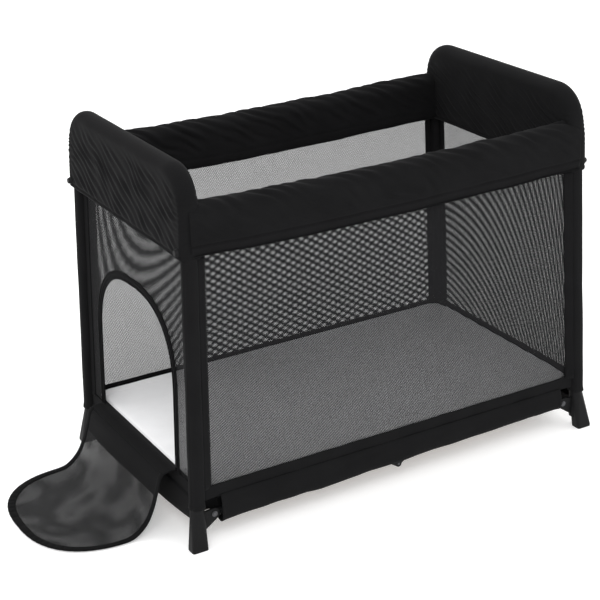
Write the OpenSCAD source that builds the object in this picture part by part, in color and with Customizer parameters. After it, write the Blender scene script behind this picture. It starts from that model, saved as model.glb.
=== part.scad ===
// Playpen that folds flat: two rigid end frames, folding top and lower rails on both long
// sides, mesh walls, a two-part floor pad and an arched door flap in one end.
// X runs along the long side with the door at -X, Y across, Z up; the floor is z = 0.

/* [Overall] */
// Half the distance between the posts along X, at the floor
post_x = 540; // [535:1:545]
// Half the distance between the posts along Y, at the floor
post_y = 302; // [299:1:305]
// Inward lean of the end frames, in degrees
lean_x = 2.2; // [1.5:0.1:2.5]
// Inward lean of the posts within an end frame, in degrees
lean_y = 1.08; // [0.5:0.01:1.2]
// Height of the top bar's centre, measured up the end frame
top_bar_z = 868; // [860:1:880]
// Bend radius of the end frame's upper corners
bend_r = 75; // [65:1:85]

/* [Tubes] */
// Outer diameter of the end frame tube
post_d = 25; // [24:0.5:25]
// Outer diameter of a top rail
top_rail_d = 18; // [16:0.5:18]
// Outer diameter of a lower rail
lower_rail_d = 16; // [14:0.5:16]
// Wall of every tube
tube_wall = 1.2; // [1:0.1:2]

/* [Folding rails] */
// Distance from the middle to every end pivot along X
pivot_x = 495; // [492:1:496]
// Height step between an end pivot and its knee pivot
knee_step = 24; // [24:1:26]
// Height of the lower rails' end pivots
lower_pivot_z = 70; // [68:1:72]
// Height of the top rails' end pivots
top_pivot_z = 752; // [750:1:754]
// Distance from the middle to a top rail along Y
top_rail_y = 273; // [273:0.5:274]
// Distance from the middle to a lower rail along Y
lower_rail_y = 293; // [292:0.5:293]
// Radius of the pivot pins
pin_r = 4; // [3:0.5:4]
// Radial clearance round a moving pin
pin_gap = 0.05; // [0.03:0.01:0.1]

/* [Floor pad] */
// Height of the pad's upper face
pad_z = 134; // [132:1:136]
// Half the pad's width
pad_half_w = 260; // [240:1:260]
// Thickness of the foam
foam_t = 20; // [15:1:20]
// Thickness of the board under the foam
board_t = 3; // [2:0.5:3]
// Reach of the pad past its end hinge
pad_reach = 17; // [0:1:20]

/* [Covers] */
// Bottom edge of all padded covers
cover_z = 680; // [675:1:685]
// Top edge of the side covers
side_cover_top = 806; // [800:1:812]
// Half width of an end cover
end_cover_half_w = 308; // [306:1:310]
// Corner radius of an end cover
end_cover_r = 88; // [80:1:95]

/* [Walls] */
// Top edge of the hem bands, which is the lower edge of the mesh and the door's sill
hem_z = 142; // [140:1:144]
// Bottom edge of the hem bands
skirt_z = 56; // [54:1:58]
// Thickness of a mesh panel
mesh_t = 2; // [1.5:0.1:2]

/* [Door] */
// Half width of the arched opening
door_half_w = 200; // [180:1:205]
// Height at which the jambs end and the arch starts
arch_z = 330; // [310:1:340]
// Rise of the arch above the jambs
arch_rise = 195; // [180:1:200]
// Squareness of the arch; 2 is an ellipse
arch_power = 2.5; // [2:0.1:3]
// Lengths of the flap's three panels
flap_lengths = [70, 113, 198];
// Direction of the flap's first panel from +X, in degrees
flap_first_angle = 221.5; // [215:0.5:225]

/* [Hidden] */
$fn = 48;

fabric_black = [0.10, 0.10, 0.11];
mesh_grey = [0.22, 0.22, 0.23];
plastic_dark = [0.20, 0.20, 0.21];
steel = [0.62, 0.63, 0.65];
tube_black = [0.14, 0.14, 0.15];
pad_grey = [0.84, 0.84, 0.85];

slip = 0.3;                                  // gap between parts that pass each other
post_r = post_d / 2;
sleeve_r = post_r + 4.5;                     // outside of the fabric sleeve on a post
tube_foot_z = 36;                            // where the post ends inside its foot
foot_top_z = 100;
foot_reach = [566, 330];                     // outer edges of a foot from the middle
foot_inner = [526, 300];                     // inner edges of a foot's sole
ear_y = [297, 303];                          // ear on a foot that carries the lower rail
lower_tab_y = [290, 296.7];                  // flat end of a lower rail
top_tab_y = [263, 269];                      // flat end of a top rail
top_ear_y = [256, 262.7];                    // ear on a corner bracket
top_tube_z = top_pivot_z + 10;
lower_tube_z = lower_pivot_z - 3;
top_knee_z = top_pivot_z + knee_step;
lower_knee_z = lower_pivot_z - knee_step;
wall_out = -1.5;                             // middle of the end walls, outwards from the posts
stud_out = 26.2;                             // underside of a stud's head, outwards from the post
collar_x = [14, 48];                         // ends of a knee's collar from the middle
collar_side = 1.6;
collar_rise = 2.2;
tube_start = 16;                             // where a rail tube begins inside the collar
knee_eye_r = 7.5;
rail_wall_y = 303;                           // inner face of the lower sleeve's outer wall
rail_wall_t = 2.5;
button_x = -31;
button_r = 7;
flap_t = 2.4;
flap_lift = 2.2;                             // height of the flap's middle on the floor
sill = [-541, 146];                          // hinge line of the flap, x and z
elbow = sill + flap_lengths[0] * [cos(flap_first_angle), sin(flap_first_angle)];
flap_second_angle = 180 + asin((elbow[1] - flap_lift) / flap_lengths[1]);
landing = elbow + flap_lengths[1] * [cos(flap_second_angle), sin(flap_second_angle)];
flap_reach = flap_lengths[2] - landing[0];   // tip of the open flap from the middle
frame_shift = (flap_reach - foot_reach[0]) / 2;

function post_at(z) = [post_x - z * tan(lean_x), post_y - z * tan(lean_y), z];
function arch_points(half_w, straight, rise) = concat(
    [[0, -half_w], [straight, -half_w]],
    [for (a = [-84 : 6 : 84])
        let (c = pow(cos(a), 2 / arch_power), s = pow(abs(sin(a)), 2 / arch_power))
        [straight + rise * c, half_w * s * sign(a)]],
    [[straight, half_w], [0, half_w]]);

// Moves the model so that its own box is centred on the origin.
module placed() { translate([frame_shift, 0, 0]) children(); }
module at_door() { placed() mirror([1, 0, 0]) children(); }
module at_far() { placed() children(); }
module front() { mirror([0, 1, 0]) children(); }
module both_sides() { for (s = [0, 1]) mirror([0, s, 0]) children(); }

// Plane of an end frame: local x points out of the cot, local z runs up the lean.
module end_plane() { translate([post_x, 0, 0]) rotate([0, -lean_x, 0]) children(); }

// Space that follows the post of the +Y side; local z runs up the post from height z.
module post_line(z) {
    end_plane() translate([0, post_y - z * tan(lean_y), z]) rotate([lean_y, 0, 0]) children();
}

module ring(r_out, r_in) {
    difference() {
        circle(r = r_out);
        circle(r = r_in);
    }
}

// Bar along Y between two distances from the middle.
module y_bar(x, z, r, span) {
    translate([x, span[1], z]) rotate([90, 0, 0]) cylinder(r = r, h = span[1] - span[0]);
}

// One-piece end frame tube: two posts, two bends and a top bar.
module end_tube() {
    r_in = post_r - tube_wall;
    z_low = tube_foot_z;
    bend_z = top_bar_z - bend_r;
    bend_y = post_y - bend_z * tan(lean_y) - bend_r / cos(lean_y);
    post_len = (bend_z + bend_r * sin(lean_y) - z_low) / cos(lean_y);
    color(tube_black) end_plane() both_sides() {
        translate([0, post_y - z_low * tan(lean_y), z_low]) rotate([lean_y, 0, 0])
            linear_extrude(height = post_len) ring(post_r, r_in);
        translate([0, bend_y, bend_z]) rotate([90, 0, 90]) rotate([0, 0, lean_y])
            rotate_extrude(angle = 90 - lean_y) translate([bend_r, 0]) ring(post_r, r_in);
    }
    color(tube_black) end_plane() translate([0, bend_y, top_bar_z]) rotate([90, 0, 0])
        linear_extrude(height = 2 * bend_y) ring(post_r, r_in);
}

// Outline of an end cover in the frame's plane, drawn as x = across and y = up.
module end_cover_outline(inset) {
    w = end_cover_half_w - inset;
    top = top_bar_z + 20 - inset;
    r = end_cover_r - inset;
    translate([-w, cover_z]) square([2 * w, top - r - cover_z]);
    translate([r - w, top - r - 1]) square([2 * (w - r), r + 1]);
    for (s = [-1, 1]) translate([s * (w - r), top - r]) circle(r = r, $fn = 96);
}

module end_cover_layer(from, to, inset) {
    end_plane() translate([from, 0, 0]) rotate([90, 0, 90])
        linear_extrude(height = to - from) end_cover_outline(inset);
}

// Padded cover over the upper part of an end frame: two faces, a rim and a core inside the tube.
module end_cover() {
    core = 13;
    color(fabric_black) difference() {
        union() {
            for (s = [-1, 1]) {
                end_cover_layer(s > 0 ? 18 : -26, s > 0 ? 26 : -18, 8);
                end_cover_layer(s > 0 ? core : -18, s > 0 ? 18 : -core, 0);
            }
            difference() {
                end_cover_layer(-core, core, 0);
                end_cover_layer(-core - 1, core + 1, 6);
            }
            end_cover_layer(-core, core, 38);
        }
        both_sides() {
            post_line(737) cylinder(r = 17.4, h = 33);
            translate([470, 254, cover_z - 30]) cube([46, 31, 130]);
            stud_shape(3.01);
        }
    }
}

// Stud that pins the lower corner of an end cover to the post.
module stud_shape(shank_r) {
    post_line(702) rotate([0, 90, 0]) {
        translate([0, 0, post_r]) cylinder(r = shank_r, h = stud_out - post_r);
        translate([0, 0, stud_out]) cylinder(r1 = 9, r2 = 6, h = 7);
    }
}

module cover_studs() { color(plastic_dark) both_sides() stud_shape(3); }

module post_sleeves() {
    color(fabric_black) both_sides() post_line(foot_top_z + 4)
        linear_extrude(height = cover_z - foot_top_z - 7) ring(sleeve_r, post_r + 0.2);
}

// Flat panel of an end wall between two heights; x = across, y = up the frame.
module wall_outline(z_low, z_high) {
    side = [for (z = [z_low, z_high]) post_y - z * tan(lean_y) - sleeve_r - 0.8];
    polygon([[-side[0], z_low], [side[0], z_low], [side[1], z_high], [-side[1], z_high]]);
}

module end_panel(z_low, z_high, from, to) {
    end_plane() translate([from, 0, 0]) rotate([90, 0, 90])
        linear_extrude(height = to - from) wall_outline(z_low, z_high);
}

// Arch standing on the sill, in an end frame's plane.
module door_arch(from, to, grow) {
    end_plane() translate([from, 0, hem_z]) rotate([0, -90, 0]) mirror([0, 0, 1])
        linear_extrude(height = to - from)
        polygon(arch_points(door_half_w + grow, arch_z - hem_z, arch_rise + grow));
}

module end_mesh() { color(mesh_grey) end_panel(hem_z + 0.2, cover_z - 1, wall_out - 1, wall_out + 1); }

module door_mesh() {
    color(mesh_grey) difference() {
        end_panel(hem_z + 0.2, cover_z - 1, wall_out - 1, wall_out + 1);
        door_arch(wall_out - 8, wall_out + 10, 0);
    }
}

module zip_tape() {
    color(fabric_black) difference() {
        door_arch(wall_out + 1.1, wall_out + 3.6, 8);
        door_arch(wall_out - 8, wall_out + 10, 0);
    }
}

module slider() {
    color(steel) end_plane() translate([wall_out + 3.8, -door_half_w - 9, 172]) {
        cube([3, 6, 12]);
        translate([1, 1.5, -16]) cube([1.5, 3, 17]);
    }
}

module end_hem() { color(fabric_black) end_panel(skirt_z, hem_z, wall_out - 2, wall_out + 2); }

// Foot with a socket for the post, a flared sole and an ear for the lower rail.
module foot() {
    sole = [foot_inner[0] + 6, foot_reach[0] - 6, foot_inner[1] + 6, foot_reach[1] - 6];
    color(plastic_dark) difference() {
        union() {
            post_line(28) cylinder(r1 = 18, r2 = 16.5, h = foot_top_z - 28);
            hull() {
                translate(post_at(foot_top_z - 6)) cylinder(r = 16, h = 1, $fn = 32);
                for (i = [0, 1], j = [2, 3])
                    translate([sole[i], sole[j], 0]) cylinder(r = 6, h = 5, $fn = 32);
            }
            hull() {
                y_bar(pivot_x, lower_pivot_z, 14, ear_y, $fn = 32);
                translate([522, ear_y[0], 34]) cube([6, ear_y[1] - ear_y[0], 46]);
            }
        }
        post_line(tube_foot_z) cylinder(r = post_r, h = 90);
        y_bar(pivot_x, lower_pivot_z, pin_r, [ear_y[0] - 1, ear_y[1] + 1]);
        translate([pivot_x - 12, lower_tab_y[0] - 8, 40]) cube([25, ear_y[0] - lower_tab_y[0] + 8, 70]);
    }
}

// Rivet along Y with a domed head outside and a flat head inside.
module rivet(x, z, span, head_r) {
    y_bar(x, z, pin_r, span);
    y_bar(x, z, head_r, [span[0] - 1.5, span[0]]);
    y_bar(x, z, head_r, [span[1], span[1] + 1.2]);
    y_bar(x, z, head_r - 2, [span[1] + 1.2, span[1] + 2.2]);
}

module lower_rivets() {
    color(steel) both_sides() rivet(pivot_x, lower_pivot_z, [lower_tab_y[0] - slip, ear_y[1]], 7);
}

module upper_rivets() {
    color(steel) both_sides() rivet(pivot_x, top_pivot_z, [top_ear_y[0], top_tab_y[1] + slip], 6);
}

// Corner bracket: a collar on the post with an ear for the top rail.
module bracket() {
    color(plastic_dark) difference() {
        union() {
            post_line(740) cylinder(r = 17, h = 27);
            translate([506, top_ear_y[0], 743]) cube([9, 30, 18]);
            y_bar(pivot_x, top_pivot_z, 9, top_ear_y);
            translate([pivot_x, top_ear_y[0], 743]) cube([15, top_ear_y[1] - top_ear_y[0], 18]);
        }
        post_line(730) cylinder(r = post_r, h = 50);
        y_bar(pivot_x, top_pivot_z, pin_r, [top_ear_y[0] - 1, top_ear_y[1] + 1]);
    }
}

// Channel-shaped padded cover over one long side's top rail.
module side_cover() {
    half = pivot_x - 13;
    outer = [250, 309];
    color(fabric_black) difference() {
        union() {
            translate([-half, outer[0], cover_z + 2]) cube([2 * half, outer[1] - outer[0], 104]);
            for (y = [outer[0] + 20, outer[1] - 20]) translate([-half, y, side_cover_top - 20])
                rotate([0, 90, 0]) cylinder(r = 20, h = 2 * half);
            translate([-half, outer[0] + 20, side_cover_top - 22]) cube([2 * half, 19, 22]);
        }
        translate([-half - 1, outer[0] + 5, cover_z]) cube([2 * half + 2, 48, 112]);
    }
}

// Mesh wall of one long side, standing in the plane of the posts.
module side_mesh() {
    z = [hem_z + 0.2, cover_z - 2.5];
    half = [for (h = z) post_at(h)[0] - sleeve_r - 0.8];
    color(mesh_grey) translate([0, post_y, 0]) rotate([lean_y, 0, 0]) rotate([90, 0, 0])
        linear_extrude(height = mesh_t, center = true)
        polygon([[-half[0], z[0]], [half[0], z[0]], [half[1], z[1]], [-half[1], z[1]]]);
}

// Hem band and rail sleeve of one long side, open round the knee.
module lower_sleeve() {
    half = 478;
    knee_half = 52;
    inner = 281;
    color(fabric_black) {
        translate([-half, rail_wall_y, skirt_z]) cube([2 * half, rail_wall_t, hem_z - skirt_z]);
        for (x = [-half, knee_half]) {
            translate([x, inner, skirt_z - 3])
                cube([half - knee_half, rail_wall_y + rail_wall_t - inner, 3]);
            translate([x, inner, skirt_z]) cube([half - knee_half, 2.5, 27]);
        }
    }
}

// Tube along X from one distance to another, on the +X half.
module x_tube(y, z, d, from, to) {
    translate([from, y, z]) rotate([90, 0, 90])
        linear_extrude(height = to - from) ring(d / 2, d / 2 - tube_wall);
}

// Half of a rail with the drilled tab at its end pivot.
module rail_half(y, z, d, pivot_z, tab_y, start) {
    color(tube_black) difference() {
        union() {
            x_tube(y, z, d, tube_start, start);
            y_bar(pivot_x, pivot_z, 9, tab_y);
            translate([start - 30, tab_y[0], min(z, pivot_z) - 6])
                cube([pivot_x - start + 30, tab_y[1] - tab_y[0], abs(z - pivot_z) + 12]);
        }
        y_bar(pivot_x, pivot_z, pin_r + pin_gap, [tab_y[0] - 1, tab_y[1] + 1]);
    }
}

module top_rail() { rail_half(top_rail_y, top_tube_z, top_rail_d, top_pivot_z, top_tab_y, 474); }
module lower_rail() {
    rail_half(lower_rail_y, lower_tube_z, lower_rail_d, lower_pivot_z, lower_tab_y, 478);
}

// Arm of a knee between the pivot in the middle and the collar on the tube.
module knee_arm(tube_z, knee_z, span, hole_r) {
    difference() {
        hull() {
            y_bar(0, knee_z, knee_eye_r, span);
            translate([collar_x[0], span[0], tube_z - 7]) cube([20, span[1] - span[0], 14]);
        }
        y_bar(0, knee_z, hole_r, [span[0] - 1, span[1] + 1]);
    }
}

// Knee half on the +X side: its arms at the given spans, and a collar round the rail tube.
module knee(rail_y, tube_z, knee_z, tube_d, spans, hole_r) {
    collar = [collar_x[1] - collar_x[0], tube_d + 2 * collar_side, tube_d + 2 * collar_rise];
    color(plastic_dark) difference() {
        union() {
            for (s = spans) knee_arm(tube_z, knee_z, s, hole_r);
            translate([collar_x[0], rail_y - collar[1] / 2, tube_z - collar[2] / 2]) cube(collar);
        }
        translate([tube_start, rail_y, tube_z]) rotate([0, 90, 0]) cylinder(d = tube_d, h = 50);
    }
}

module knee_pins(rail_y, z, half) {
    color(steel) both_sides() y_bar(0, z, pin_r - 1, [rail_y - half, rail_y + half]);
}

module button() {
    color(plastic_dark) translate([button_x, top_rail_y, top_tube_z - 24]) {
        cylinder(r = button_r, h = 8.4);
        cylinder(r = button_r + 2, h = 2);
    }
}

// Foam half of the pad on the +X side, with its outer end past the hinge.
module mattress() {
    r = 30;
    color(pad_grey) translate([0, 0, pad_z - foam_t]) linear_extrude(height = foam_t) {
        translate([0.4, -pad_half_w]) square([pivot_x + pad_reach - r, 2 * pad_half_w]);
        translate([pivot_x + pad_reach - r, r - pad_half_w]) square([r, 2 * (pad_half_w - r)]);
        for (s = [-1, 1]) translate([pivot_x + pad_reach - r, s * (pad_half_w - r)]) circle(r = r);
    }
}

module base_board() {
    color(plastic_dark) translate([0.4, 12 - pad_half_w, pad_z - foam_t - board_t])
        cube([pivot_x - 2, 2 * pad_half_w - 24, board_t]);
}

// Panel of the flap between two distances from the sill, laid out from its own hinge.
module flap_panel(hinge, angle, from, length, c) {
    gap = 1.5;
    color(c) placed() translate([hinge[0], 0, hinge[1]]) rotate([0, -angle, 0]) intersection() {
        translate([-from, 0, -flap_t / 2]) linear_extrude(height = flap_t)
            polygon(arch_points(door_half_w - 2, arch_z - hem_z - 2, arch_rise));
        translate([gap, -door_half_w, -flap_t])
            cube([length - 2 * gap, 2 * door_half_w, 2 * flap_t]);
    }
}

module door_end_tube() { at_door() end_tube(); }
module door_end_cover() { at_door() end_cover(); }
module door_end_mesh() { at_door() door_mesh(); }
module door_end_hem() { at_door() end_hem(); }
module door_zip_tape() { at_door() zip_tape(); }
module door_post_sleeves() { at_door() post_sleeves(); }
module door_foot_front() { at_door() front() foot(); }
module door_foot_back() { at_door() foot(); }
module door_bracket_front() { at_door() front() bracket(); }
module door_bracket_back() { at_door() bracket(); }
module door_lower_rivets() { at_door() lower_rivets(); }
module door_upper_rivets() { at_door() upper_rivets(); }
module door_cover_studs() { at_door() cover_studs(); }
module zip_slider() { at_door() slider(); }
module far_end_tube() { at_far() end_tube(); }
module far_end_cover() { at_far() end_cover(); }
module far_end_mesh() { at_far() end_mesh(); }
module far_end_hem() { at_far() end_hem(); }
module far_post_sleeves() { at_far() post_sleeves(); }
module far_foot_front() { at_far() front() foot(); }
module far_foot_back() { at_far() foot(); }
module far_bracket_front() { at_far() front() bracket(); }
module far_bracket_back() { at_far() bracket(); }
module far_lower_rivets() { at_far() lower_rivets(); }
module far_upper_rivets() { at_far() upper_rivets(); }
module far_cover_studs() { at_far() cover_studs(); }
module side_cover_front() { placed() front() side_cover(); }
module side_cover_back() { placed() side_cover(); }
module side_mesh_front() { placed() front() side_mesh(); }
module side_mesh_back() { placed() side_mesh(); }
module lower_sleeve_front() { placed() front() lower_sleeve(); }
module lower_sleeve_back() { placed() lower_sleeve(); }
module lower_rail_left_front() { at_door() front() lower_rail(); }
module lower_rail_left_back() { at_door() lower_rail(); }
module lower_rail_right_front() { at_far() front() lower_rail(); }
module lower_rail_right_back() { at_far() lower_rail(); }
module lower_knee_forks() {
    spans = [[285, 288.7], [297.3, 301]];
    at_door() both_sides()
        knee(lower_rail_y, lower_tube_z, lower_knee_z, lower_rail_d, spans, pin_r - 1);
}
module lower_knee_tongues() {
    hole_r = pin_r - 1 + pin_gap;
    at_far() both_sides()
        knee(lower_rail_y, lower_tube_z, lower_knee_z, lower_rail_d, [[289, 297]], hole_r);
}
module lower_knee_pins() { placed() knee_pins(lower_rail_y, lower_knee_z, 8); }
module top_rail_left_front() { at_door() front() top_rail(); }
module top_rail_left_back() { at_door() top_rail(); }
module top_rail_right_front() { at_far() front() top_rail(); }
module top_rail_right_back() { at_far() top_rail(); }
module top_knee_forks() {
    spans = [[264, 268.2], [277.8, 282]];
    at_door() both_sides()
        knee(top_rail_y, top_tube_z, top_knee_z, top_rail_d, spans, pin_r - 1);
}
module top_knee_tongues() {
    hole_r = pin_r - 1 + pin_gap;
    at_far() both_sides()
        knee(top_rail_y, top_tube_z, top_knee_z, top_rail_d, [[268.5, 277.5]], hole_r);
}
module top_knee_pins() { placed() knee_pins(top_rail_y, top_knee_z, 9); }
module release_button_front() { placed() front() button(); }
module release_button_back() { placed() button(); }
module mattress_left() { at_door() mattress(); }
module mattress_right() { at_far() mattress(); }
module base_board_left() { at_door() base_board(); }
module base_board_right() { at_far() base_board(); }
module flap_band() { flap_panel(sill, flap_first_angle, 0, flap_lengths[0], fabric_black); }
module flap_middle() {
    flap_panel(elbow, flap_second_angle, flap_lengths[0], flap_lengths[1], mesh_grey);
}
module flap_tip() {
    flap_panel(landing, 180, flap_lengths[0] + flap_lengths[1], flap_lengths[2] + 10, mesh_grey);
}

door_end_tube();
door_end_cover();
door_end_mesh();
door_end_hem();
door_zip_tape();
door_post_sleeves();
door_foot_front();
door_foot_back();
door_bracket_front();
door_bracket_back();
door_lower_rivets();
door_upper_rivets();
door_cover_studs();
zip_slider();
far_end_tube();
far_end_cover();
far_end_mesh();
far_end_hem();
far_post_sleeves();
far_foot_front();
far_foot_back();
far_bracket_front();
far_bracket_back();
far_lower_rivets();
far_upper_rivets();
far_cover_studs();
side_cover_front();
side_cover_back();
side_mesh_front();
side_mesh_back();
lower_sleeve_front();
lower_sleeve_back();
lower_rail_left_front();
lower_rail_left_back();
lower_knee_forks();
lower_knee_pins();
lower_rail_right_front();
lower_rail_right_back();
lower_knee_tongues();
top_rail_left_front();
top_rail_left_back();
top_knee_forks();
top_knee_pins();
top_rail_right_front();
top_rail_right_back();
top_knee_tongues();
release_button_front();
release_button_back();
mattress_left();
mattress_right();
base_board_left();
base_board_right();
flap_band();
flap_middle();
flap_tip();
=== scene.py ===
import math
import bpy
import bmesh
from mathutils import Matrix, Vector, noise


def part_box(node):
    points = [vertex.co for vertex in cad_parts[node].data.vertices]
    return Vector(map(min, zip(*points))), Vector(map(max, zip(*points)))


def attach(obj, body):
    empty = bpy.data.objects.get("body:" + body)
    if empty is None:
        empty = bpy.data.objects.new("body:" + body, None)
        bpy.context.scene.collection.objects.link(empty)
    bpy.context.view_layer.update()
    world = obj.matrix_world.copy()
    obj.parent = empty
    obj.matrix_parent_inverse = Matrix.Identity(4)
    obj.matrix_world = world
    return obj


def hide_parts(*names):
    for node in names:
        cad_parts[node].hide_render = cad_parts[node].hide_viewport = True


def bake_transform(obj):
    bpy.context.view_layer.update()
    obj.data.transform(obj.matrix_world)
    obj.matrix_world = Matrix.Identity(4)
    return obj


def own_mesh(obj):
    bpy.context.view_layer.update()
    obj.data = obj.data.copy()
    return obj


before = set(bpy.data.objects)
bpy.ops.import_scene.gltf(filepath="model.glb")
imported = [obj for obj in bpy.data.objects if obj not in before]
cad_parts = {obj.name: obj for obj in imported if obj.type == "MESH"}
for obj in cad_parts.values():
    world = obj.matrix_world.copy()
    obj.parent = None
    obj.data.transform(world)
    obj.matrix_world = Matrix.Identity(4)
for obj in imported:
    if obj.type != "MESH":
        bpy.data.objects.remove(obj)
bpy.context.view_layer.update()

# places taken from the frame, in metres
doorFoot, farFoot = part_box("door_foot_front"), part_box("far_foot_front")
midX = (doorFoot[0][0] + farFoot[1][0]) / 2
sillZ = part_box("door_end_hem")[1][2]
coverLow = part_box("far_end_cover")[0][2]
padBox = [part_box("mattress_left"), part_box("mattress_right")]
stand = {"postX": 0.540, "postY": 0.302, "leanX": math.radians(2.2), "leanY": math.tan(math.radians(1.08)),
         "wallOut": -0.0015}


def smooth(a, b, t):
    t = min(1.0, max(0.0, (t - a) / (b - a)))
    return t * t * (3 - 2 * t)


def mix(a, b, t):
    return a + (b - a) * t


def onEnd(side, across, up, out=0.0):  # a point in an end frame's leaning plane
    s, c = math.sin(stand["leanX"]), math.cos(stand["leanX"])
    return Vector((midX + side * (stand["postX"] + out * c - up * s), across, out * s + up * c))


def postAt(side, front, z):
    return Vector((midX + side * (stand["postX"] - z * math.tan(stand["leanX"])),
                   front * (stand["postY"] - z * stand["leanY"]), z))


def quarterRound(gap, size):  # rises from 0 at the edge to 1 at size, as a quarter circle does
    return math.sqrt(max(0.0, 1 - (1 - min(gap, size) / size) ** 2))


def wavy(p, scale, seed=0.0):
    return noise.noise(Vector((p[0], p[1], p[2])) * scale + Vector((seed, seed * 0.7, 0)))


class Sock:
    def __init__(self, tree, socket):
        self.tree, self.socket = tree, socket

    def math(self, kind, other=0.0, third=0.0):
        return makeNode(self.tree, "ShaderNodeMath", {"operation": kind}, {0: self, 1: other, 2: third})

    def __add__(self, o): return self.math("ADD", o)
    def __sub__(self, o): return self.math("SUBTRACT", o)
    def __mul__(self, o): return self.math("MULTIPLY", o)
    def __rsub__(self, o): return self.math("MULTIPLY", -1.0).math("ADD", o)
    __radd__, __rmul__ = __add__, __mul__

    def sine(self): return self.math("SINE")
    def size(self): return self.math("ABSOLUTE")

    def step(self, low, high):
        return makeNode(self.tree, "ShaderNodeMapRange", {"interpolation_type": "SMOOTHSTEP"},
                        {"Value": self, "From Min": low, "From Max": high})


def makeNode(tree, kind, settings, inputs, output=0):
    node = tree.nodes.new(kind)
    for key, value in settings.items():
        if key == "stops":
            for i, (place, colour) in enumerate(value):
                stop = node.color_ramp.elements[i] if i < 2 else node.color_ramp.elements.new(place)
                stop.position, stop.color = place, (*colour, 1)
        else:
            setattr(node, key, value)
    for key, value in inputs.items():
        if isinstance(value, Sock):
            tree.links.new(value.socket, node.inputs[key])
        else:
            node.inputs[key].default_value = value
    return Sock(tree, node.outputs[output])


def newMaterial(name, settings):
    mat = bpy.data.materials.new(name)
    mat.use_nodes = True
    tree = mat.node_tree
    shader = tree.nodes["Principled BSDF"]
    for key, value in settings.items():
        shader.inputs[key].default_value = value
    coords = tree.nodes.new("ShaderNodeTexCoord")
    return mat, tree, shader, Sock(tree, coords.outputs["Object"]), Sock(tree, coords.outputs["UV"])


def fuzz(tree, where, scale, detail=3.0):
    return makeNode(tree, "ShaderNodeTexNoise", {}, {"Vector": where, "Scale": scale, "Detail": detail})


def splitXyz(tree, where):
    node = tree.nodes.new("ShaderNodeSeparateXYZ")
    tree.links.new(where.socket, node.inputs[0])
    return [Sock(tree, node.outputs[i]) for i in range(3)]


def bumpInto(tree, shader, height, strength, distance):
    levels = {"Height": height, "Strength": strength, "Distance": distance}
    bump = makeNode(tree, "ShaderNodeBump", {}, levels)
    tree.links.new(bump.socket, shader.inputs["Normal"])


def colourInto(tree, shader, factor, stops):
    ramp = makeNode(tree, "ShaderNodeValToRGB", {"stops": stops}, {0: factor})
    tree.links.new(ramp.socket, shader.inputs["Base Color"])


def clothMaterial(name, dark, light, weave=620.0, grain=0.35, rough=0.85, sheen=0.02, gloss=0.06):
    mat, tree, shader, place, _ = newMaterial(name, {"Roughness": rough, "Sheen Weight": sheen,
                                                     "Sheen Roughness": 0.4, "Specular IOR Level": gloss})
    x, y, z = splitXyz(tree, place)
    threads = ((x + y) * weave * 3.1).sine() * 0.5 + (z * weave * 3.1).sine() * 0.5
    patches = fuzz(tree, place, 14.0)
    speckle = fuzz(tree, place, 900.0, 1.0)
    colourInto(tree, shader, patches * 0.6 + speckle * 0.4, [(0.3, dark), (0.75, light)])
    tree.links.new((patches * 0.12 + (rough - 0.06)).socket, shader.inputs["Roughness"])
    bumpInto(tree, shader, threads * 0.5 + speckle * 0.9 + patches * 2.0, grain, 0.0006)
    return mat


def netMaterial(name, pitch, closed, shadowMoire=0.0):
    # slanted rows of holes; closed is the share of the pattern's height that is thread
    mat, tree, shader, _, flat = newMaterial(name, {"Roughness": 0.75, "Specular IOR Level": 0.15})
    u, v, _ = splitXyz(tree, flat)
    k = math.pi / pitch
    first = ((u * 0.85 + v) * k).sine().size()
    second = ((u * 0.85 - v) * k).sine().size()
    shape = first * 0.55 + second * 0.45
    if shadowMoire:
        # wavy bands in the holes: painted shade, the moiré of the net against its own shadow on the floor
        shadowMoireBands = (fuzz(tree, flat, 6.5, 1.5) * 26).sine()
        shape = shape + shadowMoireBands * shadowMoire
    hole = shape.step(closed - 0.05, closed + 0.05)
    tree.links.new((1 - hole).socket, shader.inputs["Alpha"])
    shade = fuzz(tree, flat, 700.0, 1.0)
    colourInto(tree, shader, shade, [(0.3, (0.004, 0.004, 0.0045)), (0.8, (0.011, 0.011, 0.012))])
    bumpInto(tree, shader, first + second, 0.4, 0.0005)
    return mat


def plasticMaterial(name, dark, light, rough):
    mat, tree, shader, place, _ = newMaterial(name, {"Roughness": rough, "Specular IOR Level": 0.14})
    grain = fuzz(tree, place, 1400.0, 2.0)
    patches = fuzz(tree, place, 25.0)
    colourInto(tree, shader, patches, [(0.3, dark), (0.7, light)])
    tree.links.new((patches * 0.15 + (rough - 0.07)).socket, shader.inputs["Roughness"])
    bumpInto(tree, shader, grain, 0.3, 0.0003)
    return mat


def metalMaterial(name, colour, metallic, rough):
    mat, tree, shader, place, _ = newMaterial(name, {"Metallic": metallic, "Roughness": rough})
    streak = fuzz(tree, place, 160.0, 4.0)
    darker = tuple(c * 0.75 for c in colour)
    colourInto(tree, shader, streak, [(0.25, darker), (0.7, colour)])
    tree.links.new((streak * 0.2 + (rough - 0.1)).socket, shader.inputs["Roughness"])
    bumpInto(tree, shader, streak, 0.12, 0.0002)
    return mat


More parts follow.
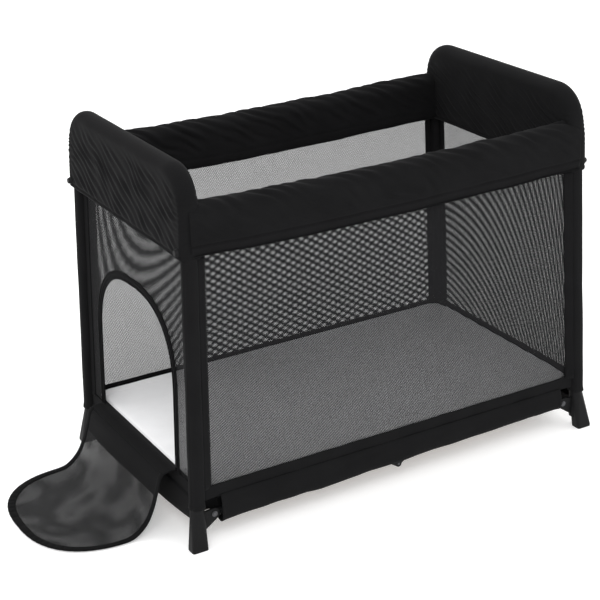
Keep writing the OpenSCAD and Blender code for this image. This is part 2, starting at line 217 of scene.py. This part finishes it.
finish = {
    "cover": clothMaterial("paddedCoverCloth", (0.0042, 0.0042, 0.0045), (0.0080, 0.0080, 0.0085),
                           gloss=0.08),
    "band": clothMaterial("plainBandCloth", (0.0056, 0.0056, 0.0059), (0.0090, 0.0090, 0.0095)),
    "sleeve": clothMaterial("postSleeveCloth", (0.0060, 0.0060, 0.0063), (0.0095, 0.0095, 0.0100)),
    "net": netMaterial("wallNet", 0.0038, 0.83),
    "endNet": netMaterial("endWallNet", 0.0038, 0.868),
    # the flap's net is drawn almost closed and with wavy bands in its holes: painted shade standing in for
    # the net's shadow on the floor under it
    "flapNet": netMaterial("flapNet", 0.0038, 0.94, 0.03),
    "pad": clothMaterial("padJersey", (0.86, 0.86, 0.87), (0.95, 0.95, 0.96), weave=500.0, grain=0.2),
    "binding": clothMaterial("bindingTape", (0.0040, 0.0040, 0.0042), (0.0070, 0.0070, 0.0074),
                             weave=420.0, grain=0.6),
    "plastic": plasticMaterial("footPlastic", (0.0035, 0.0035, 0.0038), (0.0055, 0.0055, 0.0060), 0.5),
    "tube": metalMaterial("tubeCoat", (0.010, 0.010, 0.011), 0.2, 0.45),
    "darkMetal": metalMaterial("blackenedSteel", (0.10, 0.10, 0.105), 1.0, 0.35),
    "board": plasticMaterial("hardboard", (0.22, 0.16, 0.10), (0.30, 0.22, 0.14), 0.75),
}


def finishMesh(name, bm, material, weld=0.00002):
    bmesh.ops.remove_doubles(bm, verts=bm.verts, dist=weld)
    bmesh.ops.recalc_face_normals(bm, faces=bm.faces)
    mesh = bpy.data.meshes.new(name)
    bm.to_mesh(mesh)
    bm.free()
    obj = bpy.data.objects.new(name, mesh)
    bpy.context.scene.collection.objects.link(obj)
    for face in mesh.polygons:
        face.use_smooth = True
    mesh.materials.append(finish[material])
    return obj


def addLoft(bm, across, along, shape, flat=None):
    # a grid laid on shape(u, v), with u and v from 0 to 1 and flat(u, v) in metres
    grid = bmesh.ops.create_grid(bm, x_segments=across, y_segments=along, size=0.5)
    layer = bm.loops.layers.uv.verify()
    own = {v: (v.co.x + 0.5, v.co.y + 0.5) for v in grid["verts"]}
    if flat:
        faces = {f for v in own for f in v.link_faces}
        for face in faces:
            for loop in face.loops:
                loop[layer].uv = flat(*own[loop.vert])
    for v, (a, b) in own.items():
        v.co = shape(a, b)


def thicken(bm, wall):
    bmesh.ops.recalc_face_normals(bm, faces=bm.faces)
    bmesh.ops.solidify(bm, geom=bm.faces[:], thickness=wall)


def alongPath(points, t):  # Catmull-Rom through the points, t from 0 to 1
    last = len(points) - 1
    i = min(last - 1, int(t * last))
    f = t * last - i
    p = [Vector(points[max(0, min(last, j))]) for j in (i - 1, i, i + 1, i + 2)]
    return 0.5 * (2 * p[1] + (p[2] - p[0]) * f + (2 * p[0] - 5 * p[1] + 4 * p[2] - p[3]) * f * f
                  + (3 * p[1] - 3 * p[2] + p[3] - p[0]) * f ** 3)


print("materials ready")


endCover = {"half": 0.3060, "low": 0.682, "top": {-1: 0.8825, 1: 0.8875}, "corner": 0.086, "thick": 0.051,
            "rim": 0.023, "sideRim": 0.011, "hem": 0.008, "crease": 0.020, "slope": 0.6,
            "depth": 0.0034, "awayDepth": 0.00459,  # wrinkles on the faces turned to -X, and on the others
            "seamUp": 0.013, "seamDepth": 0.0028, "gather": 0.0022, "dent": 0.0015}


def creased(a, b, slope, width, seed):
    # long soft wrinkles that run at a slant, about 1 high
    size = math.hypot(slope, 1)
    over, along = (a * slope - b) / size, (a + b * slope) / size
    over += 0.010 * wavy((a, b, 0), 11.0, seed)
    main = math.sin(2 * math.pi * (over / width + 0.55 * wavy((over, along, 0), 13.0, seed + 3)))
    fine = noise.noise(Vector((over / width * 2.1 + seed, along * 9, seed)))
    strength = 0.6 + 0.8 * wavy((over * 2.0, along * 0.9, 0), 17.0, seed + 7)
    return strength * (0.62 * main * abs(main) ** 0.3 + 0.6 * fine)


def makeEndCover(side, name, body, cadNode):
    s = endCover
    top, corner = s["top"][side], s["corner"]
    bm = bmesh.new()

    def rise(v):  # rows lie closer together towards the top
        close = 0.45
        even = 1 - close
        if v > even:
            v = even + close * math.sin((v - even) / close * math.pi / 2)
        return mix(s["low"], top, v)

    def halfAt(z):
        over = max(0.0, z - (top - corner))
        return s["half"] - corner + math.sqrt(max(0.0, corner ** 2 - over ** 2))

    def edgeGap(y, z):
        y = abs(y)
        if y > s["half"] - corner and z > top - corner:
            return corner - math.hypot(y - s["half"] + corner, z - top + corner)
        return min(s["half"] - y, top - z)

    def face(sign):
        depth = s["depth"] if sign == -side else s["awayDepth"]

        def shape(u, v):
            z = rise(v)
            spread = (u - 0.5) * 2
            y = halfAt(z) * (0.5 * spread + 0.5 * math.sin(spread * math.pi / 2))
            gap = max(0.0, edgeGap(y, z))
            low = z - s["low"]
            rim = mix(s["sideRim"], s["rim"], smooth(0.765, 0.835, z))
            t = s["thick"] / 2 * min(quarterRound(gap, rim), 0.35 + 0.65 * quarterRound(low, s["hem"]))
            calm = smooth(0.012, 0.05, gap) * smooth(0.004, 0.03, low)
            calm *= 1 - 0.75 * smooth(top - 0.055, top - 0.03, z)  # no wrinkles close to the top
            t += calm * depth * creased(y, z, s["slope"], s["crease"], 1.0 + sign + side * 5)
            t += s["dent"] * wavy((y, z, sign), 16.0, 5.0) * min(1, gap / 0.02)
            t -= s["seamDepth"] * math.exp(-((low - s["seamUp"]) / 0.0020) ** 2) * min(1, gap / 0.01)
            nearCorner = smooth(0.085, 0.0, math.hypot(abs(y) - s["half"], z - (top - 0.09)))
            t -= nearCorner * s["gather"] * (0.5 + 0.5 * math.sin(z * 560 + 4 * wavy((y, z, 0), 30.0)))
            if gap <= 1e-7 or low <= 1e-7:
                t = 0.0
            return onEnd(side, y, z, sign * t)
        return shape
    for sign in (1, -1):
        addLoft(bm, 170, 80, face(sign))
    cover = finishMesh(name, bm, "cover", 0.0002)
    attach(cover, body)
    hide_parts(cadNode)


for side, name, body, node in ((-1, "doorEndCover", "door_end", "door_end_cover"),
                               (1, "farEndCover", "far_end", "far_end_cover")):
    makeEndCover(side, name, body, node)
print("end covers ready")


sideCover = {"inner": 0.253, "outer": 0.3090, "low": 0.687, "sag": 0.0095, "top": 0.806, "seam": 0.714,
             "half": 0.5145, "crease": 0.025, "depth": 0.0044, "slope": 0.64, "dent": 0.0018,
             "seamDepth": 0.0036, "hemUp": 0.006, "hemDepth": 0.0016}


def sideProfile(t):
    # once round the cover's section, from the outside's lower edge: outwards, height, distance
    s = sideCover
    r = (s["outer"] - s["inner"]) / 2
    top = s["top"] - r
    straight = top - s["low"]
    total = 2 * straight + math.pi * r + 2 * r
    d = t * total
    if d < straight:
        return s["outer"], s["low"] + d, d
    d -= straight
    if d < math.pi * r:
        a = d / r
        return s["outer"] - r + r * math.cos(a), top + r * math.sin(a), straight + d
    d -= math.pi * r
    if d < straight:
        return s["inner"], top - d, straight + math.pi * r + d
    return s["inner"] + (d - straight), s["low"], total


def makeSideCover(front, name, cadNode):
    s = sideCover
    middle, roundZ = (s["inner"] + s["outer"]) / 2, s["top"] - (s["outer"] - s["inner"]) / 2
    bm = bmesh.new()

    def shape(u, v):
        o, z, run = sideProfile(v)
        x = (u - 0.5) * 2 * s["half"]
        n = Vector((o - middle, max(0.0, z - roundZ))).normalized() if z > s["low"] else Vector((0, -1))
        above = smooth(s["seam"] + 0.004, s["seam"] + 0.028, z)
        ends = smooth(0.0, 0.02, s["half"] - abs(x))
        h = above * ends * s["depth"] * creased(x, front * run, s["slope"], s["crease"], 2.0 + front)
        h += s["dent"] * wavy((x, run, front), 9.0, 11.0) * ends
        groove = s["seam"] + 0.0015 * wavy((x, front, 0), 8.0, 1.0)
        h -= s["seamDepth"] * math.exp(-((z - groove) / 0.0022) ** 2)
        h -= 0.0040 * smooth(groove, s["low"], z)  # the plain band lies flatter
        h -= s["hemDepth"] * math.exp(-((z - s["low"] - s["hemUp"]) / 0.0012) ** 2)
        q = x / s["half"]
        drop = s["sag"] * (1 - q * q) * (1 - 0.25 * q)
        drop += 0.0015 * wavy((x, 0, front), 14.0, 4.0) * ends
        return Vector((midX + x, front * (o + n[0] * h), z + n[1] * h - drop))
    addLoft(bm, 320, 96, shape)
    bmesh.ops.remove_doubles(bm, verts=bm.verts, dist=0.00002)
    bmesh.ops.holes_fill(bm, edges=[e for e in bm.edges if e.is_boundary], sides=0)
    cover = finishMesh(name, bm, "cover")
    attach(cover, "door_end")
    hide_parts(cadNode)
    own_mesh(cover)


makeSideCover(-1, "sideCoverFront", "side_cover_front")
makeSideCover(1, "sideCoverBack", "side_cover_back")
print("side covers ready")


sleeve = {"radius": 0.0172, "low": 0.098, "high": 0.70, "border": 0.022, "endBorder": 0.020, "cloth": 0.0016,
          "tuck": 0.003, "flat": (0.114, 0.602), "borderFlat": (0.042, 0.565)}


def makeSleeve(side, front, name, body):
    s = sleeve
    bm = bmesh.new()

    def tube(u, v):
        z = mix(s["low"], s["high"], v)
        a = u * 2 * math.pi
        centre = postAt(side, front, z)
        r = s["radius"] + 0.0010 * wavy((math.cos(a), math.sin(a), z * 6), 1.6, side + 2 * front)
        up = z - s["low"]
        r += 0.0016 * smooth(0.012, 0.0, up) - 0.0008 * math.exp(-((up - 0.018) / 0.0015) ** 2)  # hem
        square = (abs(math.cos(a)) ** 3 + abs(math.sin(a)) ** 3) ** (-1 / 3)
        turn = (a - math.atan2(front, side) + math.pi) % (2 * math.pi) - math.pi
        r -= 0.0018 * math.exp(-((turn + side * front * 0.35) / 0.07) ** 2)  # the sewn seam
        return centre + Vector((math.cos(a), math.sin(a), 0)) * r * mix(1.0, square, 0.6)
    addLoft(bm, 40, 90, tube)
    bmesh.ops.remove_doubles(bm, verts=bm.verts, dist=0.00002)
    thicken(bm, s["cloth"])
    piece = finishMesh(name, bm, "sleeve")
    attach(piece, body)
    return piece


def makeBorders(side, front, name, body):
    # one strip along the long side's net and one along the end net
    s = sleeve
    bm = bmesh.new()

    def longSide(u, v):
        z = mix(sillZ - 0.004, coverLow + 0.012, v)
        p = postAt(side, front, z)
        inward = s["radius"] - s["tuck"] + u * s["border"]
        return p + Vector((-side * inward, front * (0.0105 - 0.008 * u), 0))

    def shortSide(u, v):
        z = mix(sillZ - 0.004, coverLow + 0.012, v)
        across = stand["postY"] - z * stand["leanY"] - s["radius"] + s["tuck"] - u * s["endBorder"]
        return onEnd(side, front * across, z, stand["wallOut"] + 0.0035 - 0.002 * u)
    addLoft(bm, 4, 40, longSide)
    thicken(bm, s["cloth"])
    other = bmesh.new()  # thickened by itself, so that the two strips stay apart
    addLoft(other, 4, 40, shortSide)
    thicken(other, s["cloth"])
    strip = bpy.data.meshes.new("strip")
    other.to_mesh(strip)
    other.free()
    bm.from_mesh(strip)
    bpy.data.meshes.remove(strip)
    piece = finishMesh(name, bm, "band")
    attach(piece, body)


for side, endName, body in ((-1, "door", "door_end"), (1, "far", "far_end")):
    for front, word in ((-1, "Front"), (1, "Back")):
        makeSleeve(side, front, endName + "Sleeve" + word, body)
        makeBorders(side, front, endName + "Border" + word, body)
    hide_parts(endName + "_post_sleeves")
print("sleeves ready")


net = {"sag": 0.003, "fineness": 24, "half": 0.5, "edge": 0.02, "under": 0.006, "over": 0.010,
       "drawn": (0.99, 0.54), "flat": (0.99, 0.555), "endFlat": (0.55, 0.555),
       "doorFlat": (0.55, 0.55), "doorArea": 0.156}
door = {"half": 0.2, "spring": 0.33, "rise": 0.195, "power": 2.5}


def netHeight(v):  # the net's edges go a little under the hem and the cover
    return mix(sillZ - net["under"], coverLow + net["over"], v)


def endNetHalf(z):
    return stand["postY"] - z * stand["leanY"] - net["edge"]


def makeSideNet(front, name, cadNode):
    bm = bmesh.new()

    def shape(u, v):
        z = netHeight(v)
        half = stand["postX"] - z * math.tan(stand["leanX"]) - net["edge"]
        x = (u - 0.5) * 2 * half
        y = stand["postY"] - z * stand["leanY"]
        hollow = net["sag"] * math.sin(math.pi * u) * math.sin(math.pi * v)
        return Vector((midX + x, front * (y - hollow), z))
    wide, tall = net["drawn"]
    addLoft(bm, 60, net["fineness"], shape, lambda u, v: ((u - 0.5) * wide, v * tall + 0.001 * front))
    wall = finishMesh(name, bm, "net")
    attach(wall, "door_end")
    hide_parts(cadNode)
    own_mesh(wall)


def archPoint(t, grow):
    # along the doorway's edge, from the foot of one jamb to the foot of the other: across, up
    a = door
    jamb = a["spring"] - sillZ
    total = 2 * jamb + math.pi * 0.19
    d = t * total
    if d < jamb:
        return -(a["half"] + grow), sillZ + d
    if d > total - jamb:
        return a["half"] + grow, sillZ + total - d
    ang = (d - jamb) / (total - 2 * jamb) * math.pi
    c, s = math.cos(ang), math.sin(ang)
    k = 2 / a["power"]
    across = -math.copysign(abs(c) ** k, c) * (a["half"] + grow)
    return across, a["spring"] + (a["rise"] + grow) * abs(s) ** k


def outerPoint(t):  # the end net's outer edge across from archPoint(t)
    share = 0.36  # of t for each upright edge
    if t < share:
        z = netHeight(t / share)
        return -endNetHalf(z), z
    if t > 1 - share:
        z = netHeight((1 - t) / share)
        return endNetHalf(z), z
    high = netHeight(1)
    return mix(-endNetHalf(high), endNetHalf(high), (t - share) / (1 - 2 * share)), high


tape = {"width": 0.019, "wall": 0.0022, "bead": 0.0016}


def makeTape():
    bm = bmesh.new()
    wide, wall, bead = tape["width"] / 2, tape["wall"] / 2, tape["bead"]
    # how far outside the arch's edge, how far off the net, half width, half thickness, facets round it
    runs = [(0.0085, 0.0018, wide, wall, 12), (0.0, 0.0036, bead, bead, 10),
            (0.0100, 0.0034, bead, bead * 0.8, 10), (0.0180, 0.0030, bead * 0.6, bead * 0.7, 10)]
    for grow, lift, halfWide, halfThick, facets in runs:
        def shape(u, v, grow=grow, lift=lift, halfWide=halfWide, halfThick=halfThick):
            a = v * 2 * math.pi
            y, z = archPoint(u, grow + halfWide * math.cos(a))
            return onEnd(-1, y, z, stand["wallOut"] + lift + halfThick * math.sin(a))
        addLoft(bm, 170, facets, shape)
    bmesh.ops.remove_doubles(bm, verts=bm.verts, dist=0.00002)
    bmesh.ops.holes_fill(bm, edges=[e for e in bm.edges if e.is_boundary], sides=0)
    piece = finishMesh("doorwayBinding", bm, "binding")
    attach(piece, "door_end")
    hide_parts("door_zip_tape")
    return piece


def makeDoorNet(binding):
    bm = bmesh.new()

    def flatPlace(u, v):
        a, b = archPoint(u, 0.002), outerPoint(u)
        return mix(a[0], b[0], v), mix(a[1], b[1], v)
    addLoft(bm, 150, 8, lambda u, v: onEnd(-1, *flatPlace(u, v), stand["wallOut"]), flatPlace)
    wall = finishMesh("doorEndNet", bm, "endNet")
    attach(wall, "door_end")
    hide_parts("door_end_mesh")


def makeFarNet():
    bm = bmesh.new()

    def flatPlace(u, v):
        z = netHeight(v)
        return (u - 0.5) * 2 * endNetHalf(z), z
    addLoft(bm, 30, net["fineness"], lambda u, v: onEnd(1, *flatPlace(u, v), stand["wallOut"]), flatPlace)
    wall = finishMesh("farEndNet", bm, "endNet")
    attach(wall, "far_end")
    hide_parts("far_end_mesh")


makeSideNet(-1, "sideNetFront", "side_mesh_front")
makeSideNet(1, "sideNetBack", "side_mesh_back")
makeDoorNet(makeTape())
makeFarNet()
print("nets and doorway binding ready")


hem = {"top": 0.144, "seam": 0.113, "low": 0.056, "cloth": 0.0016, "half": 0.526, "sleeveHalf": 0.480,
       "tilt": 0.007, "kneePull": 0.003, "flat": (1.05, 0.20), "area": 0.18, "endFlat": (0.60, 0.21),
       "endSag": 0.023, "lip": (0.1435, 0.1295), "lipReach": 0.028,
       "gussetY": 0.2825, "gussetX": (0.536, 0.466)}
sleeveSection = [(0.0045, 0.1155), (0.0085, 0.109), (0.0115, 0.088), (0.0100, 0.067), (0.0020, 0.056),
                 (-0.011, 0.056), (-0.018, 0.064), (-0.0195, 0.082), (-0.015, 0.100), (-0.004, 0.108)]
endSection = [(0.0025, 0.144), (0.004, 0.13), (0.003, 0.1145), (0.0085, 0.107), (0.011, 0.085),
              (0.009, 0.066), (0.0, 0.057), (-0.012, 0.057), (-0.018, 0.066), (-0.0185, 0.082)]


def hemSection(points, t):  # outwards from the wall, and height
    p = alongPath([(a, b, 0) for a, b in points], t)
    return p[0], p[1]


def makeSideHem(front, name, cadNode):
    bm = bmesh.new()

    def band(u, v):
        x = (u - 0.5) * 2 * hem["half"]
        z = mix(hem["top"], hem["seam"] - 0.001, v) + 0.0012 * wavy((x, 0, front), 16.0, 3.0) * v
        wall = stand["postY"] - z * stand["leanY"]
        out = 0.0035 + 0.0022 * math.sin(math.pi * v) + 0.0018 * wavy((x, z, front), 20.0, 6.0)
        nearPost = smooth(hem["half"] - 0.035, hem["half"], abs(x))
        return Vector((midX + x, front * (wall + mix(out, 0.006, nearPost)), z))

    def rail(u, v):
        out, z = hemSection(sleeveSection, v)
        x = (u - 0.5) * 2 * hem["sleeveHalf"]
        low = smooth(0.105, 0.06, z)
        wall = stand["postY"] - z * stand["leanY"]
        drop = low * (0.0030 * wavy((x, 0, front), 7.0, 2.0) + 0.0015 * wavy((x, 0, front), 24.0, 8.0))
        drop += low * hem["tilt"] * x / hem["sleeveHalf"]
        drop -= low * hem["kneePull"] * math.exp(-(x / 0.05) ** 2)  # pulled down by the knee inside
        pull = 0.0022 * wavy((x, z * 2, front), 16.0, 6.0) * smooth(0.115, 0.10, z)
        mouth = smooth(hem["sleeveHalf"] - 0.012, hem["sleeveHalf"], abs(x)) * 0.002
        return Vector((midX + x, front * (wall + out + pull + mouth), z + drop))
    addLoft(bm, 220, 12, band)
    addLoft(bm, 220, 44, rail)
    thicken(bm, hem["cloth"])
    piece = finishMesh(name, bm, "band")
    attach(piece, "door_end")
    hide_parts(cadNode)
    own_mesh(piece)


def makeEndHem(side, name, body, cadNode):
    bm = bmesh.new()

    def shape(u, v):
        out, z = hemSection(endSection, v)
        y = (u - 0.5) * 2 * (stand["postY"] - z * stand["leanY"] - 0.006)
        low = smooth(0.11, 0.06, z)
        drop = low * (0.003 * wavy((y, 0, side), 9.0, 3.0) - hem["endSag"] * (1 - abs(2 * (u - 0.5)) ** 2.5))
        return onEnd(side, y, z + drop, stand["wallOut"] + out * 0.6)
    addLoft(bm, 120, 44, shape)

    def lip(u, v):  # turned in to meet the pad
        y = (u - 0.5) * 2 * (stand["postY"] - 0.022)
        return onEnd(side, y, mix(*hem["lip"], v), stand["wallOut"] + 0.003 - hem["lipReach"] * v)
    addLoft(bm, 60, 5, lip)
    if side < 0:  # the cloth goes on round both corners behind the rails' ends
        for front in (-1, 1):
            def gusset(u, v, front=front):
                z = mix(0.128, 0.066 + 0.008 * math.sin(math.pi * u), v)
                return Vector((midX - mix(*hem["gussetX"], u), front * hem["gussetY"], z))
            addLoft(bm, 10, 8, gusset)
    thicken(bm, hem["cloth"])
    piece = finishMesh(name, bm, "band")
    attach(piece, body)
    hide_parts(cadNode)


makeSideHem(-1, "sideHemFront", "lower_sleeve_front")
makeSideHem(1, "sideHemBack", "lower_sleeve_back")
makeEndHem(-1, "doorEndHem", "door_end", "door_end_hem")
makeEndHem(1, "farEndHem", "far_end", "far_end_hem")
print("hems ready")


pad = {"corner": 0.03, "edge": 0.009, "crown": 0.0015, "loft": 0.007, "reach": 0.011,
       "half": 0.5 * (padBox[0][1][1] - padBox[0][0][1]) + 0.002, "bend": 0.03}
padEdge = {"inner": 0.222, "outer": 0.2955, "half": 0.521, "turn": 0.036, "fall": 0.011, "round": 0.012,
           "width": 0.075, "cloth": 0.0015}


def makePad():
    low, high = padBox[0][0][2], padBox[0][1][2] + pad["loft"]
    halfX, halfY = (padBox[1][1][0] - padBox[0][0][0]) / 2 + pad["reach"], pad["half"]
    centre = (padBox[1][1][0] + padBox[0][0][0]) / 2
    bm = bmesh.new()

    def face(sign):
        def shape(u, v):
            x, y = (u - 0.5) * 2 * halfX, (v - 0.5) * 2 * halfY
            r = pad["corner"]
            cx, cy = abs(x) - (halfX - r), abs(y) - (halfY - r)
            if cx > 0 and cy > 0:
                far = math.hypot(cx, cy)
                k = max(cx, cy) / far
                x = math.copysign(halfX - r + cx * k, x)
                y = math.copysign(halfY - r + cy * k, y)
                gap = r - max(cx, cy)
            else:
                gap = min(halfX - abs(x), halfY - abs(y))
            t = (high - low) / 2 * quarterRound(gap, pad["edge"])
            if gap > 1e-6:
                t += pad["crown"] * smooth(0.0, 0.12, gap) * (0.6 + 0.4 * wavy((x, y, 0), 7.0, 9.0))
            return Vector((centre + x, y, (low + high) / 2 + sign * t))
        return shape
    for sign in (1, -1):
        addLoft(bm, 260, 140, face(sign))
    piece = finishMesh("floorPad", bm, "pad", 0.0004)
    bendZ = low - 0.003
    midX - pad["bend"]
    midX + pad["bend"]
    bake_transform(piece)
    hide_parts("mattress_left", "mattress_right")


def makePadFlange(front, name):
    # the pad cover's soft edge, which fills the gap to the net
    e = padEdge
    high = padBox[0][1][2] + pad["loft"]
    bm = bmesh.new()

    def shape(u, v):
        q = (u - 0.5) * 2
        x = e["half"] * (0.6 * q + 0.4 * math.sin(q * math.pi / 2))
        reach = max(0.0, abs(x) - (e["half"] - e["turn"]))
        limit = e["outer"] - e["turn"] + math.sqrt(max(0.0, e["turn"] ** 2 - reach ** 2))
        y = mix(e["inner"], limit, v)
        gap = max(0.0, min(e["half"] - abs(x), limit - y)) if reach < e["turn"] else 0.0
        fall = e["fall"] * (1 - quarterRound(gap, e["round"]))
        lift = 0.0008 * wavy((x, 0, front), 20.0, 1.0) * v
        return Vector((midX + x, front * y, high - 0.0025 + lift - fall))
    addLoft(bm, 180, 24, shape)
    thicken(bm, e["cloth"])
    piece = finishMesh(name, bm, "pad")
    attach(piece, "door_end")
    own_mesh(piece)


makePad()
makePadFlange(-1, "padFlangeFront")
makePadFlange(1, "padFlangeBack")
print("pad ready")


# the path runs from the sill over the hem and down to the floor: (x from the middle, z)
flap = {"half": 0.2, "cloth": 0.0016, "band": 0.098, "round": 0.195, "power": 2.5, "binding": 0.019,
        "overlap": 0.004, "bandWidth": 0.41, "seam": 0.003, "netShare": 0.86, "inset": 0.002,
        "path": [(-0.533, 0.145), (-0.553, 0.150), (-0.577, 0.141), (-0.590, 0.105), (-0.603, 0.068),
                 (-0.622, 0.034), (-0.652, 0.010), (-0.690, 0.0035), (-0.740, 0.0032), (-0.795, 0.0032),
                 (-0.852, 0.0032)]}
pathSteps = 400
flapPlaces = [alongPath([(x, 0, z) for x, z in flap["path"]], i / pathSteps) for i in range(pathSteps + 1)]
flapRuns = [0.0]
for i in range(pathSteps):
    flapRuns.append(flapRuns[-1] + (flapPlaces[i + 1] - flapPlaces[i]).length)


def onFlap(run, across, lift=0.0):  # a place on the flap, by its distance from the sill and from the middle
    run = min(run, flapRuns[-1])
    i = min(pathSteps - 1, next((k for k in range(pathSteps) if flapRuns[k + 1] >= run), pathSteps - 1))
    f = (run - flapRuns[i]) / (flapRuns[i + 1] - flapRuns[i])
    p = flapPlaces[i].lerp(flapPlaces[i + 1], f)
    d = (flapPlaces[i + 1] - flapPlaces[i]).normalized()
    up = Vector((d[2], 0, -d[0]))
    floor = smooth(0.20, 0.26, run)
    wave = (1 - floor) * (0.003 * math.sin(across * 14 + run * 9)) * smooth(0.0, 0.06, run)
    return p + Vector((midX, across, 0)) + up * (lift + wave)


def flapHalf(run):
    left = flapRuns[-1] - run
    if left >= flap["round"]:
        return flap["half"]
    k = 1 - max(0.0, left) / flap["round"]
    return flap["half"] * max(0.0, 1 - k ** flap["power"]) ** (1 / flap["power"])


# each strip of the flap: name, from, to, the two bodies it hangs between, where its bend starts and ends
flapStages = [("Sill", 0.0, 0.040, "door_end", "flap_band", 0.002, 0.034),
              ("Bend", 0.040, 0.135, "flap_band", "flap_middle", 0.052, 0.115),
              ("Tongue", 0.135, flapRuns[-1] - 0.0004, "flap_middle", "flap_tip", 0.150, 0.235)]


def blendFlap(piece, stage):
    _, _, _, bodyA, bodyB, start, end = stage
    tuple(onFlap(start, 0))
    tuple(onFlap(end, 0))
    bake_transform(piece)


def flapStrip(name, stage, low, high, half, material, across, thick):
    bm = bmesh.new()

    def flatPlace(u, v):
        return mix(-half(0), half(0), u), mix(low, high, v)

    def shape(u, v):
        run = mix(low, high, v)
        return onFlap(run, mix(-half(run), half(run), u))
    addLoft(bm, across, max(4, int((high - low) / 0.004)), shape, flatPlace)
    if thick:
        thicken(bm, thick)
    piece = finishMesh(name, bm, material)
    blendFlap(piece, stage)
    return piece


def bindingTip(low):
    # once round the tongue, up one straight side, round the tip and down the other
    side = flapRuns[-1] - flap["round"] - low
    arc = 0.50
    total = 2 * side + arc
    half = flap["half"] - flap["inset"]

    def shape(t, v):
        w = v * 2 * math.pi
        ends = smooth(0.15, 0.3, t) * smooth(0.85, 0.7, t)
        tuck = max(0.0, math.sin(t * 230 + 2 * math.sin(t * 31))) ** 4 * ends  # gathers round the tip
        grow = 0.5 * flap["binding"] * (1 - 0.07 * tuck) * math.cos(w)
        tall = 0.0022 * (1 - 0.75 * tuck)
        d = t * total
        if d < side or d > total - side:
            run = low + min(d, total - d)
            across = math.copysign(half + grow, d - side)
        else:
            a = (d - side) / arc * math.pi
            c, s = math.cos(a), math.sin(a)
            k = 2 / flap["power"]
            across = -math.copysign(abs(c) ** k, c) * (half + grow)
            run = flapRuns[-1] - flap["round"] + (flap["round"] - 0.0045 + grow) * abs(s) ** k
        past = max(0.0, run - flapRuns[-1])
        return onFlap(run, across) + Vector((-past, 0, tall * math.sin(w)))
    return shape


def bindingSide(sign, low, high):
    def shape(u, v):
        w = v * 2 * math.pi
        across = flap["half"] - flap["inset"] + 0.5 * flap["binding"] * math.cos(w)
        return onFlap(mix(low, high, u), sign * across, 0.0019 * math.sin(w))
    return shape


def makeFlap():
    for stage in flapStages:
        label, low, high = stage[:3]
        bandHigh = min(high, flap["band"])
        if bandHigh > low:
            piece = flapStrip("flapBand" + label, stage, low, bandHigh,
                              lambda run: flapHalf(run) + flap["overlap"],
                              "band", 90, flap["cloth"])
            bandHigh - low
        if high > flap["band"]:
            netLow = max(low, flap["band"] - flap["seam"])
            piece = flapStrip("flapNet" + label, stage, netLow, high, flapHalf,
                              "flapNet", 60, 0)
            area = None if label == "Bend" else (high - netLow) * 2 * flap["half"] * flap["netShare"]
            high - netLow
    for stage in flapStages[1:]:
        label, low, high = stage[:3]
        bm = bmesh.new()
        if label == "Tongue":
            addLoft(bm, 300, 10, bindingTip(low))
        else:
            for sign in (-1, 1):
                addLoft(bm, 30, 10, bindingSide(sign, low, high))
        bmesh.ops.remove_doubles(bm, verts=bm.verts, dist=0.00001)
        piece = finishMesh("flapBinding" + label, bm, "binding", 0.00001)
        blendFlap(piece, stage)
    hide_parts("flap_band")
    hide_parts("flap_middle")
    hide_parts("flap_tip")


makeFlap()
print("flap ready")


nodeFinish = {"tube": "tube", "_rail_": "tube", "foot": "plastic", "bracket": "plastic",
              "knee_fork": "plastic", "knee_tongue": "plastic", "stud": "plastic", "button": "plastic",
              "rivet": "darkMetal", "pins": "darkMetal", "zip_slider": "darkMetal", "board": "board"}
for name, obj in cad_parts.items():
    for word, key in nodeFinish.items():
        if word in name:
            obj.data.materials.clear()
            obj.data.materials.append(finish[key])
            break


room = {"size": 12, "world": 0.95, "floor": (0.86, 0.86, 0.86, 1), "floorGlow": 0.33, "aim": (0, 0, 0.4),
        # name, place, size in metres, watts
        "lamps": [("keyLamp", (-2.2, -3.0, 3.4), 2.4, 70), ("fillLamp", (3.2, -2.0, 2.6), 2.6, 32),
                  ("topLamp", (0, 1.6, 3.6), 3.0, 50)]}


def makeRoom():
    bm = bmesh.new()
    bmesh.ops.create_grid(bm, x_segments=1, y_segments=1, size=room["size"])
    mesh = bpy.data.meshes.new("roomFloor")
    bm.to_mesh(mesh)
    bm.free()
    floor = bpy.data.objects.new("roomFloor", mesh)
    bpy.context.scene.collection.objects.link(floor)
    floor.location = (0, 0, -0.0005)
    look = {"Base Color": room["floor"], "Roughness": 0.9, "Emission Color": (1, 1, 1, 1),
            "Emission Strength": room["floorGlow"]}
    mat = newMaterial("paleFloor", look)[0]
    mesh.materials.append(mat)
    world = bpy.data.worlds.new("studio")
    world.use_nodes = True
    world.node_tree.nodes["Background"].inputs[0].default_value = (1, 1, 1, 1)
    world.node_tree.nodes["Background"].inputs[1].default_value = room["world"]
    bpy.context.scene.world = world
    for name, place, size, power in room["lamps"]:
        lamp = bpy.data.lights.new(name, "AREA")
        lamp.size, lamp.energy = size, power
        obj = bpy.data.objects.new(name, lamp)
        obj.location = place
        obj.rotation_euler = (Vector(room["aim"]) - Vector(place)).to_track_quat("-Z", "Y").to_euler()
        bpy.context.scene.collection.objects.link(obj)


shot = {"from": (midX - 1.809, -3.067, 1.872), "to": (midX - 0.0873, 0.0, 0.3874), "roll": -1.9174,
        "lens": 93.97, "sensor": 36}


def makeCamera():
    cam = bpy.data.cameras.new("shot")
    cam.lens, cam.sensor_width = shot["lens"], shot["sensor"]
    obj = bpy.data.objects.new("shot", cam)
    turn = (Vector(shot["to"]) - Vector(shot["from"])).to_track_quat("-Z", "Y").to_matrix()
    tilt = Matrix.Rotation(math.radians(shot["roll"]), 3, "Z")
    obj.matrix_world = Matrix.Translation(shot["from"]) @ (turn @ tilt).to_4x4()
    bpy.context.scene.collection.objects.link(obj)
    bpy.context.scene.camera = obj
    bpy.context.scene.view_settings.view_transform = "Standard"


makeRoom()
makeCamera()
